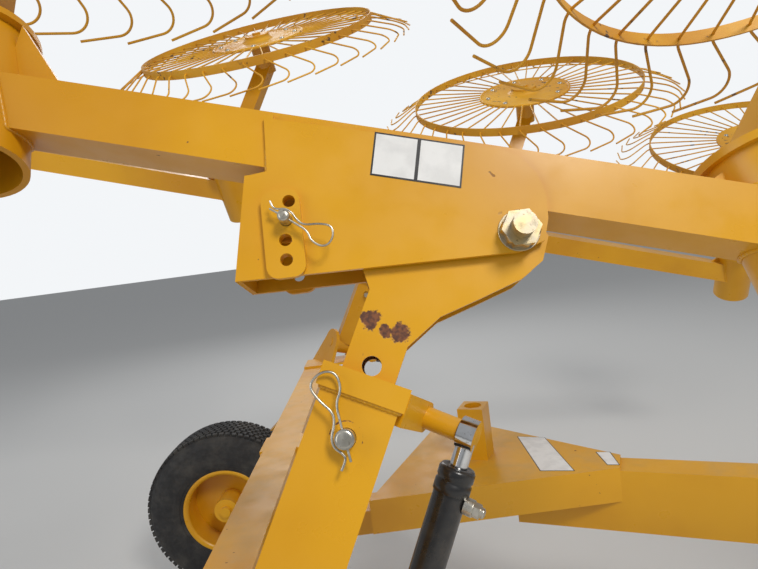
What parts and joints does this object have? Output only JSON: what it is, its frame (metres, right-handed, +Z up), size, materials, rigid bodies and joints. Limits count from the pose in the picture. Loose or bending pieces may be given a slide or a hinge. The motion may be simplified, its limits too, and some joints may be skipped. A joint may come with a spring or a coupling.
{
  "type": "wheel rake",
  "caption": "Towed wheel rake with a swinging tongue, two ground wheels and two raised folding wings of tined rake wheels on telescoping masts.",
  "frame": {"origin": "middle of the whole machine's box at floor level, wings raised", "axes": "+X forward along the machine, +Y left, +Z up"},
  "size_m": [6.1981, 4.0928, 3.5995],
  "materials": {
    "frame_yellow": "semi-gloss paint, worn at the edges",
    "tine_yellow": "painted spring steel",
    "tyre_rubber": "dusty rubber",
    "zinc_steel": "zinc plate",
    "rod_chrome": "hard chrome",
    "black_paint": "gloss black paint"
  },
  "bodies": {
    "chassis": {"arm_foot_left": "frame_yellow", "arm_foot_right": "frame_yellow", "spine": "frame_yellow", "toolbar": "frame_yellow", "wheel_leg_left": "frame_yellow", "wheel_leg_right": "frame_yellow"},
    "tongue": {"hitch": "frame_yellow", "jack_housing": "black_paint", "tongue_root_legs": "frame_yellow", "tongue_root_plate": "frame_yellow", "tongue_tube": "frame_yellow"},
    "jack_leg": {"jack_leg": "black_paint"},
    "ground_wheel_right": {"tyre_right": "tyre_rubber", "rim_right": "frame_yellow"},
    "arm_right": {"arm_right": "frame_yellow", "lock_pin_right": "zinc_steel"},
    "mast_right": {"mast_right": "frame_yellow"},
    "head_right": {"head_bracket_right": "frame_yellow", "pivot_bolt_right": "zinc_steel", "angle_pin_right": "zinc_steel", "rake_beam_right": "frame_yellow", "crank_right": "frame_yellow"},
    "cylinder_barrel_right": {"cylinder_barrel_right": "black_paint"},
    "cylinder_rod_right": {"cylinder_rod_right": "rod_chrome"},
    "rake_wheel_1_right": {"rake_wheel_1_right": "tine_yellow"},
    "rake_wheel_2_right": {"rake_wheel_2_right": "tine_yellow"},
    "rake_wheel_3_right": {"rake_wheel_3_right": "tine_yellow"},
    "rake_wheel_4_right": {"rake_wheel_4_right": "tine_yellow"},
    "ground_wheel_left": {"tyre_left": "tyre_rubber", "rim_left": "frame_yellow"},
    "arm_left": {"arm_left": "frame_yellow", "lock_pin_left": "zinc_steel"},
    "mast_left": {"mast_left": "frame_yellow"},
    "head_left": {"head_bracket_left": "frame_yellow", "pivot_bolt_left": "zinc_steel", "angle_pin_left": "zinc_steel", "rake_beam_left": "frame_yellow", "crank_left": "frame_yellow"},
    "cylinder_barrel_left": {"cylinder_barrel_left": "black_paint"},
    "cylinder_rod_left": {"cylinder_rod_left": "rod_chrome"},
    "rake_wheel_1_left": {"rake_wheel_1_left": "tine_yellow"},
    "rake_wheel_2_left": {"rake_wheel_2_left": "tine_yellow"},
    "rake_wheel_3_left": {"rake_wheel_3_left": "tine_yellow"},
    "rake_wheel_4_left": {"rake_wheel_4_left": "tine_yellow"}
  },
  "joints": [
    {"name": "tongue_swing", "type": "hinge", "parent": "chassis", "child": "tongue", "pos_m": [-0.0883, 0, 0.7304], "axis": [0, 0, 1], "range_deg": [-5, 55]},
    {"name": "jack_slide", "type": "slide", "parent": "tongue", "child": "jack_leg", "axis": [0, 0, 1], "range_m": [-0.1, 0.2]},
    {"name": "ground_wheel_right", "type": "hinge", "parent": "chassis", "child": "ground_wheel_right", "pos_m": [-1.336, -0.85, 0.42], "axis": [0, 1, 0], "continuous": true},
    {"name": "arm_fold_right", "type": "hinge", "parent": "chassis", "child": "arm_right", "pos_m": [-0.63609, -1.33797, 1.105], "axis": [0.8264, -0.4506, -0.3377], "range_deg": [0, 116.45]},
    {"name": "mast_slide_right", "type": "slide", "parent": "arm_right", "child": "mast_right", "axis": [0.4462, 0.2512, 0.859], "range_m": [0, 0.234]},
    {"name": "head_angle_right", "type": "hinge", "parent": "mast_right", "child": "head_right", "pos_m": [-0.1484, -1.16145, 1.70865], "axis": [0, -0.9598, 0.2807], "range_deg": [-10, 5]},
    {"name": "cylinder_tilt_right", "type": "hinge", "parent": "chassis", "child": "cylinder_barrel_right", "pos_m": [-0.43867, -1.22842, 1.01701], "axis": [0.8264, -0.4506, -0.3377], "range_deg": [0, 92.54]},
    {"name": "cylinder_rod_right", "type": "slide", "parent": "cylinder_barrel_right", "child": "cylinder_rod_right", "axis": [0.4211, 0.0964, 0.9019], "range_m": [0, 0.25219]},
    {"name": "rake_wheel_1_right", "type": "hinge", "parent": "head_right", "child": "rake_wheel_1_right", "pos_m": [-2.29387, -0.90675, 3.29225], "axis": [-0.0872, 0.4569, 0.8852], "continuous": true},
    {"name": "rake_wheel_2_right", "type": "hinge", "parent": "head_right", "child": "rake_wheel_2_right", "pos_m": [-0.86096, -1.03124, 2.86651], "axis": [-0.0872, 0.4569, 0.8852], "continuous": true},
    {"name": "rake_wheel_3_right", "type": "hinge", "parent": "head_right", "child": "rake_wheel_3_right", "pos_m": [0.57196, -1.15574, 2.44078], "axis": [-0.0872, 0.4569, 0.8852], "continuous": true},
    {"name": "rake_wheel_4_right", "type": "hinge", "parent": "head_right", "child": "rake_wheel_4_right", "pos_m": [2.00488, -1.28023, 2.01505], "axis": [-0.0872, 0.4569, 0.8852], "continuous": true},
    {"name": "ground_wheel_left", "type": "hinge", "parent": "chassis", "child": "ground_wheel_left", "pos_m": [-1.336, 0.85, 0.42], "axis": [0, 1, 0], "continuous": true},
    {"name": "arm_fold_left", "type": "hinge", "parent": "chassis", "child": "arm_left", "pos_m": [-0.63609, 1.33797, 1.105], "axis": [-0.8264, -0.4506, 0.3377], "range_deg": [0, 116.45]},
    {"name": "mast_slide_left", "type": "slide", "parent": "arm_left", "child": "mast_left", "axis": [0.4462, -0.2512, 0.859], "range_m": [0, 0.234]},
    {"name": "head_angle_left", "type": "hinge", "parent": "mast_left", "child": "head_left", "pos_m": [-0.1484, 1.16145, 1.70865], "axis": [0, -0.9598, -0.2807], "range_deg": [-10, 5]},
    {"name": "cylinder_tilt_left", "type": "hinge", "parent": "chassis", "child": "cylinder_barrel_left", "pos_m": [-0.43867, 1.22842, 1.01701], "axis": [-0.8264, -0.4506, 0.3377], "range_deg": [0, 92.54]},
    {"name": "cylinder_rod_left", "type": "slide", "parent": "cylinder_barrel_left", "child": "cylinder_rod_left", "axis": [0.4211, -0.0964, 0.9019], "range_m": [0, 0.25219]},
    {"name": "rake_wheel_1_left", "type": "hinge", "parent": "head_left", "child": "rake_wheel_1_left", "pos_m": [-2.29387, 0.90675, 3.29225], "axis": [0.0872, 0.4569, -0.8852], "continuous": true},
    {"name": "rake_wheel_2_left", "type": "hinge", "parent": "head_left", "child": "rake_wheel_2_left", "pos_m": [-0.86096, 1.03124, 2.86651], "axis": [0.0872, 0.4569, -0.8852], "continuous": true},
    {"name": "rake_wheel_3_left", "type": "hinge", "parent": "head_left", "child": "rake_wheel_3_left", "pos_m": [0.57196, 1.15574, 2.44078], "axis": [0.0872, 0.4569, -0.8852], "continuous": true},
    {"name": "rake_wheel_4_left", "type": "hinge", "parent": "head_left", "child": "rake_wheel_4_left", "pos_m": [2.00488, 1.28023, 2.01505], "axis": [0.0872, 0.4569, -0.8852], "continuous": true}
  ],
  "couplings": [
    {"joint": "cylinder_tilt_right", "follows": "arm_fold_right", "ratio": 0.79446},
    {"joint": "cylinder_rod_right", "follows": "arm_fold_right", "m_per_rad": 0.12398},
    {"joint": "cylinder_tilt_left", "follows": "arm_fold_left", "ratio": 0.79446},
    {"joint": "cylinder_rod_left", "follows": "arm_fold_left", "m_per_rad": 0.12398}
  ]
}
